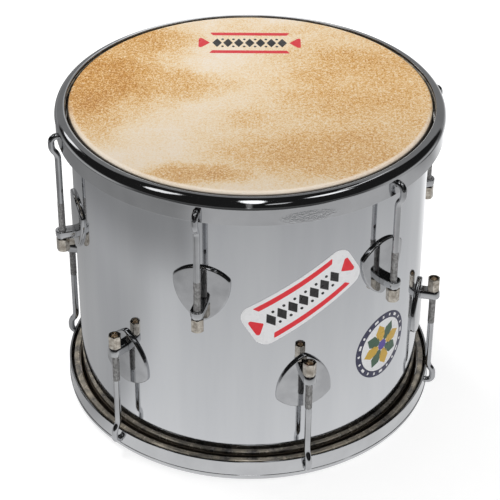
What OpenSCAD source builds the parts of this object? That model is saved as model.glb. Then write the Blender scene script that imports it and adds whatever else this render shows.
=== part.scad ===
// Repinique: a small two-headed drum with a straight shell of polished sheet metal.
// Each skin is stretched over the shell by a hoop, and six hooked rods draw each hoop in.
// A rod passes through the eye of a lug's arm and is pulled by a long nut beyond it.
// The origin is the middle of the foot, and +Z runs up the drum's axis.
// Heights whose names end in _z are measured from mid-height towards a head,
// so both ends of the drum share them.

/* [Shell] */
// Outside diameter of the shell
shell_d = 306; // [270:1:360]
// Height of the drum between the outer faces of its two hoops
drum_h = 283.2; // [262:0.1:340]
// Thickness of the shell's sheet
shell_t = 1.2; // [0.8:0.1:1.8]
// Outside radius of the rolled edge that carries the skin
edge_r = 3; // [2.4:0.1:4]
// Length of the turned-in leg below the rolled edge
edge_leg = 3; // [1:0.5:6]

/* [Skins] */
// Thickness of a skin
skin_t = 0.8; // [0.4:0.1:1.2]
// How far the top skin stands above the face of its hoop
top_skin_proud = 1; // [0:0.1:2]
// How far the bottom skin lies inside the foot, so the hoop takes the floor
foot_recess = 1.2; // [0.6:0.1:2]
// How far the skin's collar comes down beside the shell
collar_h = 13; // [8:0.5:16]
// How far the collar leans out towards its flesh hoop
collar_flare = 1.5; // [0.8:0.1:2.2]

/* [Hoops] */
// Height of a hoop from its face to the edge of its skirt
hoop_h = 22.1; // [19:0.1:26]
// Thickness of a hoop's rounded rim
rim_t = 2.1; // [1.6:0.1:2.6]
// Outside radius of the rounded rim
rim_r = 7.8; // [6.5:0.1:8.5]
// How far the rim stands out from the thinner skirt
rim_step = 0.5; // [0.3:0.1:0.9]
// Radial width of a flesh hoop
flesh_w = 5; // [4.2:0.1:5.8]
// Height of a flesh hoop
flesh_h = 17.8; // [14:0.1:18.5]
// Radius on the edges of a flesh hoop
flesh_edge = 1; // [0.5:0.1:1.4]
// Gap between a flesh hoop and the skirt round it
skirt_gap = 2.45; // [1.8:0.05:5]

/* [Lug plates] */
// Lugs round each head
lugs = 6; // [4:1:8]
// Angle of the first top lug from the front, turning to the right
top_turn = -14.4; // [-30:0.1:30]
// Angle of the first bottom lug from the front, turning to the right
bottom_turn = 17.6; // [-30:0.1:30]
// Width of a plate at its shoulders
plate_w = 48.5; // [42:0.5:54]
// Length of a plate from its tip to the middle of its crowned edge
plate_h = 53; // [49:0.5:57]
// Distance from the tip to the middle of the arm
arm_above_tip = 15; // [13:0.5:18]
// Distance from the tip to the widest line
plate_wide_at = 38; // [35:0.5:40]
// Radius of the crowned edge
crown_r = 31.5; // [29:0.5:36]
// Radius of the two shoulders
corner_r = 4; // [3:0.5:5]
// Radius of the tip
tip_r = 5; // [4:0.5:6]
// How far a plate's face stands off the shell
plate_lift = 3.4; // [2.8:0.1:4.5]
// Thickness of the pressed plate
plate_t = 1.6; // [1.2:0.1:1.9]
// Width of the small step along a plate's edge
plate_step = 0.5; // [0.3:0.1:0.9]
// Diameter of the raised seat behind the plate
boss_d = 13; // [10:0.5:16]

/* [Lug arms] */
// Height of an arm's middle line
arm_z = 33; // [30:0.5:36]
// Width of an arm
arm_w = 11; // [9:0.5:11.5]
// Height of an arm
arm_h = 8; // [6:0.5:9]
// Radius along an arm's edges
arm_edge = 2.4; // [1:0.1:2.8]
// Diameter of the eye at an arm's end
eye_d = 12; // [11.5:0.5:14]
// Radius on the eye's edges
eye_edge = 1.2; // [0.6:0.1:1.6]
// Diameter of the threaded shank that holds an arm to the shell
shank_d = 6; // [5:0.5:7]
// Distance from the shell to the axis of a rod
rod_reach = 13.3; // [13:0.1:16]

/* [Rods] */
// Diameter of the plain wire
wire_d = 5.6; // [5:0.1:5.8]
// Outside diameter of the thread
thread_d = 6; // [5.9:0.1:6.4]
// How far the rod's end lies inside its nut
end_inset = 0.55; // [0.2:0.05:1.5]
// Length of the threaded stretch
thread_l = 47.5; // [40:0.5:54]
// Bevel at the start of the thread
thread_bevel = 0.6; // [0.3:0.1:0.9]
// Gap between the hoop's rim and the stretch that passes in front of it
leg_gap = 2.9; // [1.5:0.1:4]
// Radius of the two bends that step the rod outwards
jog_r = 10; // [8:0.5:14]
// Straight length between those two bends
jog_l = 1.5; // [1.2:0.1:3]
// Straight length between that step and the hook
leg_l = 3; // [1:0.5:6]
// Radius of the hook's bend, at the middle of the wire
hook_r = 5; // [4:0.1:6]
// Distance from the edge of the hoop's rim to the hook's axis
hook_drop = 4.8; // [4:0.1:8]
// Gap between the hook's tip and the flesh hoop
tip_gap = 0.75; // [0.4:0.05:1.5]

/* [Nuts] */
// Width across the flats of a tension nut
nut_af = 10; // [9:0.5:11]
// Length of a tension nut
nut_l = 12; // [10:0.5:14]
// Depth of the cup in a tension nut's outer end
cup_depth = 1.6; // [0.8:0.1:2]
// Diameter of that cup
cup_d = 7.6; // [7:0.1:8]
// Diameter of the washers inside the shell
washer_d = 14; // [12:0.5:18]
// Thickness of the washers inside the shell
washer_t = 1.2; // [0.8:0.1:1.6]
// Width across the flats of the nuts inside the shell
lock_af = 10; // [9:0.5:13]
// Thickness of the nuts inside the shell
lock_h = 5; // [4:0.5:6]
// How far a shank passes its nut
shank_past = 2; // [1:0.5:4]

/* [Fits] */
// Gap between faces that are pressed together
seat_gap = 0.05; // [0.02:0.01:0.1]
// Gap between a skin and the shell under it
skin_gap = 0.3; // [0.2:0.05:0.4]
// Gap between a collar and the flesh hoop that moves past it
flesh_gap = 0.35; // [0.3:0.05:0.5]
// Gap between a collar and the inner edge of the hoop's lip
lip_gap = 0.9; // [0.5:0.1:1.2]
// Radial gap between a rod and the eye it slides in
eye_gap = 0.3; // [0.2:0.05:0.5]
// Radial gap between a thread and its nut
thread_gap = 0.05; // [0.02:0.01:0.1]
// Radial gap between a hook and its hole in the skirt
hook_gap = 0.3; // [0.2:0.05:0.5]
// Radial gap between a shank and the holes it passes
shank_gap = 0.2; // [0.1:0.05:0.4]

/* [Hidden] */
$fn = 96;

// Radii about the drum's axis
shell_r = shell_d / 2;
inner_r = shell_r - shell_t;
collar_r = shell_r + skin_gap + collar_flare + skin_t;
lip_in_r = collar_r + lip_gap;
flesh_in_r = collar_r + flesh_gap;
flesh_out_r = flesh_in_r + flesh_w;
skirt_in_r = flesh_out_r + skirt_gap;
rim_out_r = skirt_in_r + rim_t;
rim_c_r = rim_out_r - rim_r;
plate_r = shell_r + plate_lift;
arm_root = plate_r + seat_gap;
rod_x = shell_r + rod_reach;
leg_x = rim_out_r + leg_gap + wire_d / 2;
tip_x = flesh_out_r + tip_gap;

// Heights from the drum's mid-height towards a head
face_z = drum_h / 2;
top_edge_z = face_z + top_skin_proud - skin_t - skin_gap;
foot_edge_z = face_z - foot_recess - skin_t - skin_gap;
rim_z = face_z - rim_r;
hook_z = rim_z - hook_drop;
nut_z = arm_z - arm_h / 2 - seat_gap - nut_l;
rod_end_z = nut_z + end_inset;
plate_z = arm_z - arm_above_tip;

// The flesh hoop's rounded corner beds into the hollow of the hoop's rim
bed_r = rim_r - rim_t - seat_gap - flesh_edge;
bed_x = flesh_out_r - flesh_edge - rim_c_r;
flesh_top_z = rim_z + sqrt(bed_r * bed_r - bed_x * bed_x) + flesh_edge;

// The rod steps outwards by two equal bends with a short straight between them
jog = leg_x - rod_x;
jog_angle = acos((2 * jog_r - jog) / norm([2 * jog_r, jog_l])) - atan2(jog_l, 2 * jog_r);
jog_rise = 2 * jog_r * sin(jog_angle) + jog_l * cos(jog_angle);
jog_z = hook_z - hook_r - leg_l - jog_rise;
// How far a straight stretch of wire runs into the bend next to it
bury = 0.5;

// The inner fixings sit on the curved inside of the shell
washer_x = sqrt(inner_r * inner_r - washer_d * washer_d / 4) - seat_gap;
lock_x = washer_x - washer_t - seat_gap;
shank_x = lock_x - lock_h - shank_past;

// Centres and radii of the arcs in a plate's outline, from its tip at [0, 0]
tip_c = [0, tip_r];
crown_c = [0, plate_h - crown_r];
side_r = (pow(plate_w / 2, 2) + pow(plate_wide_at - tip_r, 2) - tip_r * tip_r) / (plate_w - 2 * tip_r);
side_c = [plate_w / 2 - side_r, plate_wide_at];
corner_c = meet(crown_c, crown_r - corner_r, side_c, side_r - corner_r);

chrome = "#c6c9cc";
polished = "#d4d7d9";
hide = "#e2c896";
zinc = "#a9adb0";

// The lower right of the two points where circles round p and q meet
function meet(p, rp, q, rq) =
    let (d = norm(q - p), along = (rp * rp - rq * rq + d * d) / (2 * d))
    let (across = sqrt(rp * rp - along * along), u = (q - p) / d)
    p + along * u + across * [u[1], -u[0]];

// Angle of the line from p to q
function heading(p, q) = atan2(q[1] - p[1], q[0] - p[0]);

// Points along an arc from angle a to angle b, in n steps
function arc(c, r, a, b, n) = [for (i = [0 : n]) c + r * [cos(a + (b - a) * i / n), sin(a + (b - a) * i / n)]];

// Right half of a plate's outline, drawn in from its edge by inset
function half_outline(inset) = concat(
    arc(tip_c, tip_r - inset, -90, heading(side_c, tip_c), 2),
    arc(side_c, side_r - inset, heading(side_c, tip_c), heading(side_c, corner_c), 8),
    arc(corner_c, corner_r - inset, heading(side_c, corner_c), heading(crown_c, corner_c), 4),
    arc(crown_c, crown_r - inset, heading(crown_c, corner_c), 90, 6)
);

function mirrored(points) = [for (i = [len(points) - 1 : -1 : 0]) [-points[i][0], points[i][1]]];

// Faces up for the top head and down for the bottom one
module at_head(end) {
    translate([0, 0, face_z])
        if (end == "top") children();
        else mirror([0, 0, 1]) children();
}

// Turns a lug built along +X to its place round a head
module at_lug(end, i) {
    turn = (end == "top" ? top_turn : bottom_turn) + (i - 1) * 360 / lugs;
    at_head(end) rotate([0, 0, turn - 90]) children();
}

// Round bar along +X from x1 to x2
module bar_x(d, x1, x2) {
    translate([x1, 0, 0]) rotate([0, 90, 0]) cylinder(d = d, h = x2 - x1);
}

// Hexagonal bar along +Z with chamfered corners
module hex_bar(af, l) {
    corner = af / 2 / cos(30);
    bevel = corner - af / 2;
    intersection() {
        cylinder(r = corner, h = l, $fn = 6);
        rotate_extrude() polygon([
            [0, 0], [af / 2, 0], [corner, bevel / 2], [corner, l - bevel / 2], [af / 2, l], [0, l]
        ]);
    }
}

// Box in the plane with its four corners rounded
module rounded_box(w, h, r) {
    square([w - 2 * r, h], center = true);
    square([w, h - 2 * r], center = true);
    for (x = [-1, 1], y = [-1, 1]) translate([x * (w / 2 - r), y * (h / 2 - r)]) circle(r = r, $fn = 32);
}

// Quarter of a ring in the first quadrant
module quarter_ring(r, t) {
    intersection() {
        difference() {
            circle(r = r);
            circle(r = r - t);
        }
        square(r + 1);
    }
}

// Sheet with both edges rolled inwards over a round bead
module shell() {
    low_z = face_z - foot_edge_z;
    high_z = face_z + top_edge_z;
    color(polished) difference() {
        rotate_extrude() {
            translate([inner_r, low_z + edge_r]) square([shell_t, high_z - low_z - 2 * edge_r]);
            translate([0, high_z - edge_r]) rolled_edge();
            translate([0, low_z + edge_r]) mirror([0, 1]) rolled_edge();
        }
        for (end = ["top", "bottom"], i = [1 : lugs])
            at_lug(end, i) translate([0, 0, arm_z])
                bar_x(shank_d + 2 * shank_gap, inner_r - washer_t, plate_r);
    }
}

module rolled_edge() {
    centre_r = shell_r - edge_r;
    translate([centre_r, 0]) quarter_ring(edge_r, shell_t);
    translate([centre_r, 0]) mirror([1, 0]) quarter_ring(edge_r, shell_t);
    translate([centre_r - edge_r, -edge_leg]) square([shell_t, edge_leg]);
}

// Flat membrane, bent over the rolled edge into a collar that leans outwards
module skin(edge_z) {
    bend_c = [shell_r - edge_r, 0];
    under_r = edge_r + skin_gap;
    over_r = under_r + skin_t;
    lean = [collar_flare, -collar_h];
    color(hide) translate([0, 0, edge_z - edge_r]) rotate_extrude() polygon(concat(
        [[0, under_r], [0, over_r]],
        arc(bend_c, over_r, 90, 0, 10),
        [bend_c + [over_r, 0] + lean, bend_c + [under_r, 0] + lean],
        arc(bend_c, under_r, 0, 90, 10)
    ));
}

module top_skin() { at_head("top") skin(top_edge_z); }
module bottom_skin() { at_head("bottom") skin(foot_edge_z); }

// Ring that the skin is lapped on, pressed down by the hoop
module flesh_hoop(end) {
    color(zinc) at_head(end) rotate_extrude()
        translate([flesh_in_r + flesh_w / 2, flesh_top_z - flesh_h / 2])
            rounded_box(flesh_w, flesh_h, flesh_edge);
}

// Flat lip and rounded rim over the flesh hoop, and a plain skirt with a hole for each hook
module hoop(end) {
    color(chrome) difference() {
        at_head(end) rotate_extrude() {
            translate([lip_in_r, face_z - rim_t]) square([rim_c_r - lip_in_r, rim_t]);
            translate([rim_c_r, rim_z]) quarter_ring(rim_r, rim_t);
            translate([skirt_in_r, face_z - hoop_h]) square([rim_t - rim_step, hoop_h - rim_r]);
        }
        for (i = [1 : lugs]) at_lug(end, i) translate([0, 0, hook_z])
            bar_x(wire_d + 2 * hook_gap, tip_x, leg_x);
    }
}

// Slice of the plate's outline between two radii about the drum's axis
module plate_layer(inset, r1, r2) {
    intersection() {
        translate([shell_r / 2, 0, plate_z]) rotate([90, 0, 90]) linear_extrude(shell_r)
            polygon(concat(half_outline(inset), mirrored(half_outline(inset))));
        translate([0, 0, plate_z - 1]) difference() {
            cylinder(r = r2, h = plate_h + 2);
            translate([0, 0, -1]) cylinder(r = r1, h = plate_h + 4);
        }
    }
}

// Pressed shield that follows the shell, hollow behind except for the arm's seat
module plate(end, i) {
    seat_r = shell_r + seat_gap;
    color(chrome) at_lug(end, i) difference() {
        union() {
            plate_layer(0, seat_r, plate_r - plate_step);
            plate_layer(plate_step, seat_r, plate_r);
        }
        difference() {
            plate_layer(plate_t, seat_r - 1, plate_r - plate_t);
            translate([0, 0, arm_z]) bar_x(boss_d, inner_r, plate_r);
        }
        translate([0, 0, arm_z]) bar_x(shank_d + 2 * shank_gap, inner_r, rod_x);
    }
}

// Bar with an eye for the rod, and a threaded shank through plate and shell
module arm(end, i) {
    color(chrome) at_lug(end, i) translate([0, 0, arm_z]) difference() {
        union() {
            translate([arm_root, 0, 0]) rotate([90, 0, 90]) linear_extrude(rod_x - arm_root)
                rounded_box(arm_w, arm_h, arm_edge);
            translate([rod_x, 0, 0]) rotate_extrude() intersection() {
                rounded_box(eye_d, arm_h, eye_edge);
                translate([0, -arm_h]) square([eye_d, 2 * arm_h]);
            }
            bar_x(shank_d, shank_x, arm_root + 1);
        }
        translate([rod_x, 0, -arm_h]) cylinder(d = thread_d + 2 * eye_gap, h = 2 * arm_h);
    }
}

// Bend of the wire in the XZ plane about [x, z], from angle a to angle b.
// It is a hair thicker than the straight stretches, whose ends are buried in it.
module bend(x, z, r, a, b) {
    translate([x, 0, z]) rotate([90, 0, 0]) rotate([0, 0, a])
        rotate_extrude(angle = b - a) translate([r, 0]) circle(d = wire_d + 0.1);
}

// Straight stretch of wire from [x, z], leaning outwards by an angle
module straight(x, z, l, lean = 0) {
    translate([x, 0, z]) rotate([0, lean, 0]) translate([0, 0, -bury]) cylinder(d = wire_d, h = l + 2 * bury);
}

// Threaded at one end, stepped out past the hoop and hooked in through its skirt
module rod(end, i) {
    jog_end_z = jog_z + jog_rise;
    bend_x = jog_r * (1 - cos(jog_angle));
    bend_z = jog_r * sin(jog_angle);
    hook_x = leg_x - hook_r;
    color(chrome) at_lug(end, i) {
        translate([rod_x, 0, rod_end_z]) {
            cylinder(d1 = thread_d - 2 * thread_bevel, d2 = thread_d, h = thread_bevel);
            translate([0, 0, thread_bevel]) cylinder(d = thread_d, h = thread_l - thread_bevel);
        }
        straight(rod_x, rod_end_z + thread_l, jog_z - rod_end_z - thread_l);
        bend(rod_x + jog_r, jog_z, jog_r, 180 - jog_angle, 180);
        straight(rod_x + bend_x, jog_z + bend_z, jog_l, jog_angle);
        bend(leg_x - jog_r, jog_end_z, jog_r, -jog_angle, 0);
        straight(leg_x, jog_end_z, leg_l);
        bend(hook_x, hook_z - hook_r, hook_r, 0, 90);
        straight(tip_x + bury, hook_z, hook_x - tip_x - bury, 90);
    }
}

// Long hexagonal nut with a cup in its outer end, where the rod's thread shows
module nut(end, i) {
    color(chrome) at_lug(end, i) translate([rod_x, 0, nut_z]) difference() {
        hex_bar(nut_af, nut_l);
        translate([0, 0, -1]) cylinder(d = thread_d + 2 * thread_gap, h = nut_l + 2);
        translate([0, 0, -1]) cylinder(d = cup_d, h = cup_depth + 1);
    }
}

// One washer under each nut inside the shell
module shank_washers() {
    color(zinc) for (end = ["top", "bottom"], i = [1 : lugs])
        at_lug(end, i) translate([0, 0, arm_z]) difference() {
            bar_x(washer_d, washer_x - washer_t, washer_x);
            bar_x(shank_d + 2 * shank_gap, washer_x - washer_t - 1, washer_x + 1);
        }
}

// The nuts inside the shell that hold the arms
module shank_nuts() {
    color(zinc) for (end = ["top", "bottom"], i = [1 : lugs])
        at_lug(end, i) translate([0, 0, arm_z]) difference() {
            translate([lock_x - lock_h, 0, 0]) rotate([0, 90, 0]) hex_bar(lock_af, lock_h);
            bar_x(shank_d + 2 * thread_gap, lock_x - lock_h - 1, lock_x + 1);
        }
}

shell();
hoop("top");  // top_hoop
hoop("bottom");  // bottom_hoop
flesh_hoop("top");  // top_flesh_hoop
flesh_hoop("bottom");  // bottom_flesh_hoop
top_skin();
bottom_skin();
shank_washers();
shank_nuts();
for (end = ["top", "bottom"], i = [1 : lugs]) {
    plate(end, i);
    arm(end, i);
    rod(end, i);
    nut(end, i);
}
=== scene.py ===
import math

import bmesh
import bpy
from mathutils import Matrix, Vector


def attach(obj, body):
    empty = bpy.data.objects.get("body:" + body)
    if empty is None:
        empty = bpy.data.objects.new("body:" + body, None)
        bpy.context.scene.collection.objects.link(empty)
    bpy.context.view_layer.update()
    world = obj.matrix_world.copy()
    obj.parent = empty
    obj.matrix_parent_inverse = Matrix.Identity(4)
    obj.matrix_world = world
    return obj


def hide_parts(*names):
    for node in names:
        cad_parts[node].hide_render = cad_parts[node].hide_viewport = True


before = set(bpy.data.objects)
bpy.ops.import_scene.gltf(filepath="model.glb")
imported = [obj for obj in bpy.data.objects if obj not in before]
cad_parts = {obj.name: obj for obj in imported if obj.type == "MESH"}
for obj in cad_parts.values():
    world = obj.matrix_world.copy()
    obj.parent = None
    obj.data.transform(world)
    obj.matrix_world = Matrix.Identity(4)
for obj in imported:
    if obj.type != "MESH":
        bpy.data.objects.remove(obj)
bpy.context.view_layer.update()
scene = bpy.context.scene
mm = 0.001
print("frame loaded with", len(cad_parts), "nodes")

# Heights called z are in mm from mid-height towards a head, as both heads are alike.
drum = {
    "midHeight": 141.6,
    "shellR": 153.0,
    "sheet": 1.2,
    "beadR": 3.0,
    "beadLeg": 3.0,
    "topEdge": 141.5,
    "footEdge": 139.3,
    "lugs": 6,
    "turn": {"top": -14.4, "bottom": 17.6},  # degrees from the front, to the right
    "rodR": 166.3,
}
heads = ("top", "bottom")
headSide = {"top": 1, "bottom": -1}
numbers = range(1, drum["lugs"] + 1)


# small geometry helpers

def arcPoints(cx, cy, r, start, end, steps):
    return [(cx + r * math.cos(math.radians(start + (end - start) * i / steps)),
             cy + r * math.sin(math.radians(start + (end - start) * i / steps))) for i in range(steps + 1)]


# angles round a full turn
def circle(count):
    return [2 * math.pi * k / count for k in range(count)]


# closed outline from (x, y, radius) corners
def roundedLoop(corners, steps=5):
    points = []
    for i, (x, y, r) in enumerate(corners):
        here = Vector((x, y))
        before = (Vector(corners[i - 1][:2]) - here).normalized()
        after = (Vector(corners[(i + 1) % len(corners)][:2]) - here).normalized()
        if r <= 0:
            points.append((x, y))
            continue
        half = before.angle(after) / 2
        centre = here + (before + after).normalized() * (r / math.sin(half))
        a = here + before * (r / math.tan(half)) - centre
        b = here + after * (r / math.tan(half)) - centre
        turn = math.atan2(a.x * b.y - a.y * b.x, a.dot(b))
        count = max(2, round(steps * abs(turn) / (math.pi / 2)))
        start = math.atan2(a.y, a.x)
        points += [(centre.x + r * math.cos(start + turn * k / count),
                    centre.y + r * math.sin(start + turn * k / count)) for k in range(count + 1)]
    return points


def makePiece(name, bm, materials, sharpAbove=38):
    bmesh.ops.remove_doubles(bm, verts=bm.verts, dist=1e-7)
    bmesh.ops.recalc_face_normals(bm, faces=bm.faces)
    mesh = bpy.data.meshes.new(name)
    bm.to_mesh(mesh)
    bm.free()
    mesh.polygons.foreach_set("use_smooth", [True] * len(mesh.polygons))
    mesh.set_sharp_from_angle(angle=math.radians(sharpAbove))
    for material in materials:
        mesh.materials.append(material)
    piece = bpy.data.objects.new(name, mesh)
    scene.collection.objects.link(piece)
    return piece


# places points whose z runs from mid-height towards a head
def atHead(head):
    return lambda x, y, z: Vector((x, y, drum["midHeight"] + headSide[head] * z)) * mm


# turns what is built along +X to one of a head's lugs, counted from 0
def lugTurn(head, index):
    return Matrix.Rotation(math.radians(drum["turn"][head] - 90 + 360 / drum["lugs"] * index), 4, "Z")


# faces between each closed loop of points and the next
def joinLoops(bm, loops):
    for a, b in zip(loops, loops[1:]):
        for k in range(len(a)):
            j = (k + 1) % len(a)
            bm.faces.new((a[k], a[j], b[j], b[k]))


def lathe(bm, profile, place, steps=288, closed=True):
    rings = [[bm.verts.new(place(r * math.cos(a), r * math.sin(a), z)) for r, z in profile]
             for a in circle(steps)]
    last = len(profile) if closed else len(profile) - 1
    for k in range(steps):
        here, there = rings[k], rings[(k + 1) % steps]
        for i in range(last):
            j = (i + 1) % len(profile)
            if profile[i][0] < 1e-9 and profile[j][0] < 1e-9:
                continue
            bm.faces.new((here[i], there[i], there[j], here[j]))


# round bar along points that lie in the plane y = 0, in mm
def wire(bm, path, radius, sides=20, chamfer=0.4):
    points = [Vector((x, 0, z)) for x, z in path]
    first = (points[1] - points[0]).normalized()
    last = (points[-1] - points[-2]).normalized()
    stations = [(points[0], first, radius - chamfer), (points[0] + first * chamfer, first, radius)]
    for before, point, after in zip(points, points[1:], points[2:]):
        along = ((point - before).normalized() + (after - point).normalized()).normalized()
        stations.append((point, along, radius))
    stations += [(points[-1] - last * chamfer, last, radius), (points[-1], last, radius - chamfer)]
    across = Vector((0, 1, 0))
    rings = []
    for point, along, r in stations:
        up = along.cross(across)
        rings.append([bm.verts.new((point + (across * math.cos(a) + up * math.sin(a)) * r) * mm)
                      for a in circle(sides)])
    joinLoops(bm, rings)
    bm.faces.new(rings[0][::-1])
    bm.faces.new(rings[-1])


# helpers for node trees

# links maps input names to sockets, values maps them to constants
def addNode(tree, kind, links=(), values=(), **settings):
    node = tree.nodes.new(kind)
    for key, value in settings.items():
        setattr(node, key, value)
    for key, value in dict(values).items():
        node.inputs[key].default_value = value
    for key, socket in dict(links).items():
        tree.links.new(socket, node.inputs[key])
    return node


# an input takes a socket or a plain value
def fillInput(tree, slot, value):
    if hasattr(value, "is_linked"):
        tree.links.new(value, slot)
    else:
        slot.default_value = value


def mathOn(tree, operation, *values):
    node = addNode(tree, "ShaderNodeMath", operation=operation)
    for slot, value in zip(node.inputs, values):
        fillInput(tree, slot, value)
    return node.outputs[0]


# one operation on a row of values, taken in turn
def chainOn(tree, operation, values):
    total, *others = values
    for value in others:
        total = mathOn(tree, operation, total, value)
    return total


def product(tree, *values):
    return chainOn(tree, "MULTIPLY", values)


def blendOn(tree, fac, a, b):
    mix = addNode(tree, "ShaderNodeMix", {0: fac})
    fillInput(tree, mix.inputs[2], a)
    fillInput(tree, mix.inputs[3], b)
    return mix.outputs[0]


def remap(tree, value, low, high, toLow=0.0, toHigh=1.0, ease="LINEAR"):
    return addNode(tree, "ShaderNodeMapRange", {"Value": value}, {
        "From Min": low, "From Max": high, "To Min": toLow, "To Max": toHigh},
        interpolation_type=ease).outputs[0]


def smoothStep(tree, value, low, high, toLow=0.0, toHigh=1.0):
    return remap(tree, value, low, high, toLow, toHigh, "SMOOTHSTEP")


def lengthOf(tree, vector):
    return addNode(tree, "ShaderNodeVectorMath", {0: vector}, operation="LENGTH").outputs["Value"]


# distance from a place, counted in half sizes along axes turned about Z
def reachFrom(tree, vector, place, halfSizes, turn=0.0):
    local = addNode(tree, "ShaderNodeMapping", {"Vector": vector}, {
        "Location": place, "Rotation": (0, 0, turn), "Scale": halfSizes}, vector_type="TEXTURE")
    return lengthOf(tree, local.outputs[0])


# geometry node trees

def nodeTree(name, inputs):
    tree = bpy.data.node_groups.new(name, "GeometryNodeTree")
    for label, kind in inputs:
        tree.interface.new_socket(label, in_out="INPUT", socket_type="NodeSocket" + kind)
    tree.interface.new_socket("Geometry", in_out="OUTPUT", socket_type="NodeSocketGeometry")
    return tree, tree.nodes.new("NodeGroupInput").outputs, tree.nodes.new("NodeGroupOutput")


# realises a tree's instances and gives them their material
def dressResult(tree, geometry, given, out):
    real = addNode(tree, "GeometryNodeRealizeInstances", {"Geometry": geometry})
    dressed = addNode(tree, "GeometryNodeSetMaterial", {
        "Geometry": real.outputs[0], "Material": given["Finish"]})
    tree.links.new(dressed.outputs[0], out.inputs[0])


def setInputs(modifier, values):
    for item in modifier.node_group.interface.items_tree:
        if item.item_type == "SOCKET" and item.in_out == "INPUT" and item.name in values:
            modifier[item.identifier] = values[item.name]


# repeats a lug's piece, built along +X, round one head
def repeatTree():
    tree, given, out = nodeTree("repeatRoundHead", [
        ("Geometry", "Geometry"), ("Count", "Int"), ("First Turn", "Float"), ("Flip", "Float"),
        ("Mid Height", "Float"), ("Finish", "Material")])
    points = addNode(tree, "GeometryNodePoints", {"Count": given["Count"]})
    step = mathOn(tree, "DIVIDE", 2 * math.pi, given["Count"])
    index = addNode(tree, "GeometryNodeInputIndex").outputs[0]
    turn = mathOn(tree, "MULTIPLY_ADD", index, step, given["First Turn"])
    angles = addNode(tree, "ShaderNodeCombineXYZ", {"X": given["Flip"], "Z": turn})
    spread = addNode(tree, "GeometryNodeInstanceOnPoints", {
        "Points": points.outputs[0], "Instance": given["Geometry"], "Rotation": angles.outputs[0]})
    lift = addNode(tree, "ShaderNodeCombineXYZ", {"Z": given["Mid Height"]})
    raised = addNode(tree, "GeometryNodeTransform", {
        "Geometry": spread.outputs[0], "Translation": lift.outputs[0]})
    dressResult(tree, raised.outputs[0], given, out)
    return tree


# adds a helical thread round the +Z line at Axis X
def threadTree():
    tree, given, out = nodeTree("cutThread", [
        ("Geometry", "Geometry"), ("Thread Radius", "Float"), ("Pitch", "Float"), ("Start", "Float"),
        ("Length", "Float"), ("Axis X", "Float"), ("Finish", "Material")])
    turns = mathOn(tree, "DIVIDE", given["Length"], given["Pitch"])
    ridge = mathOn(tree, "MULTIPLY", given["Pitch"], 0.47)  # a ridge nearly meets the next
    core = mathOn(tree, "SUBTRACT", given["Thread Radius"], ridge)
    helix = addNode(tree, "GeometryNodeCurveSpiral", {
        "Rotations": turns, "Start Radius": core, "End Radius": core,
        "Height": given["Length"]}, {"Resolution": 20})
    level = addNode(tree, "GeometryNodeSetCurveNormal", {"Curve": helix.outputs[0]}, mode="Z_UP")
    flank = addNode(tree, "GeometryNodeCurvePrimitiveCircle", {"Radius": ridge}, {"Resolution": 4})
    solid = addNode(tree, "GeometryNodeCurveToMesh", {
        "Curve": level.outputs[0], "Profile Curve": flank.outputs[0]}, {"Fill Caps": True})
    foot = addNode(tree, "ShaderNodeCombineXYZ", {"X": given["Axis X"], "Z": given["Start"]})
    moved = addNode(tree, "GeometryNodeTransform", {
        "Geometry": solid.outputs[0], "Translation": foot.outputs[0]})
    both = addNode(tree, "GeometryNodeJoinGeometry")
    tree.links.new(given["Geometry"], both.inputs[0])
    tree.links.new(moved.outputs[0], both.inputs[0])
    dressResult(tree, both.outputs[0], given, out)
    return tree


repeatRoundHead = repeatTree()
cutThread = threadTree()


# turns the modifiers' result into the piece's plain mesh
def bake(piece, sharpAbove=38):
    bpy.context.view_layer.update()
    evaluated = piece.evaluated_get(bpy.context.evaluated_depsgraph_get())
    mesh = bpy.data.meshes.new_from_object(evaluated)
    piece.modifiers.clear()
    piece.data = mesh
    mesh.polygons.foreach_set("use_smooth", [True] * len(mesh.polygons))
    mesh.set_sharp_from_angle(angle=math.radians(sharpAbove))
    return piece


def roundHead(piece, head, finish):
    modifier = piece.modifiers.new("round the head", "NODES")
    modifier.node_group = repeatRoundHead
    setInputs(modifier, {"Count": drum["lugs"], "First Turn": math.radians(drum["turn"][head] - 90),
                         "Flip": 0.0 if head == "top" else math.pi, "Mid Height": drum["midHeight"] * mm,
                         "Finish": finish})
    return bake(piece)


# materials

def newMaterial(name):
    material = bpy.data.materials.new(name)
    material.use_nodes = True
    tree = material.node_tree
    return material, tree, tree.nodes["Principled BSDF"]


def objectCoords(tree):
    return addNode(tree, "ShaderNodeTexCoord").outputs["Object"]


def objectPlace(tree, scale=(1, 1, 1)):
    return addNode(tree, "ShaderNodeMapping", {"Vector": objectCoords(tree)}, {"Scale": scale}).outputs[0]


def noiseOn(tree, place, scale, detail=3, rough=0.5, low=0.35, high=0.65, toLow=0.0, toHigh=1.0):
    noise = addNode(tree, "ShaderNodeTexNoise", {"Vector": place}, {
        "Scale": scale, "Detail": detail, "Roughness": rough})
    return remap(tree, noise.outputs["Fac"], low, high, toLow, toHigh)


def mixColours(tree, fac, a, b):
    mix = addNode(tree, "ShaderNodeMix", data_type="RGBA")
    for key, value in (("Factor", fac), ("A", a), ("B", b)):
        fillInput(tree, [s for s in mix.inputs if s.name == key and s.enabled][0], value)
    return [s for s in mix.outputs if s.enabled][0]


def feed(tree, shader, name, socket):
    tree.links.new(socket, shader.inputs[name])


def bumpOn(tree, shader, height, strength, distance):
    bump = addNode(tree, "ShaderNodeBump", {"Height": height}, {"Strength": strength, "Distance": distance})
    feed(tree, shader, "Normal", bump.outputs[0])


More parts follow.
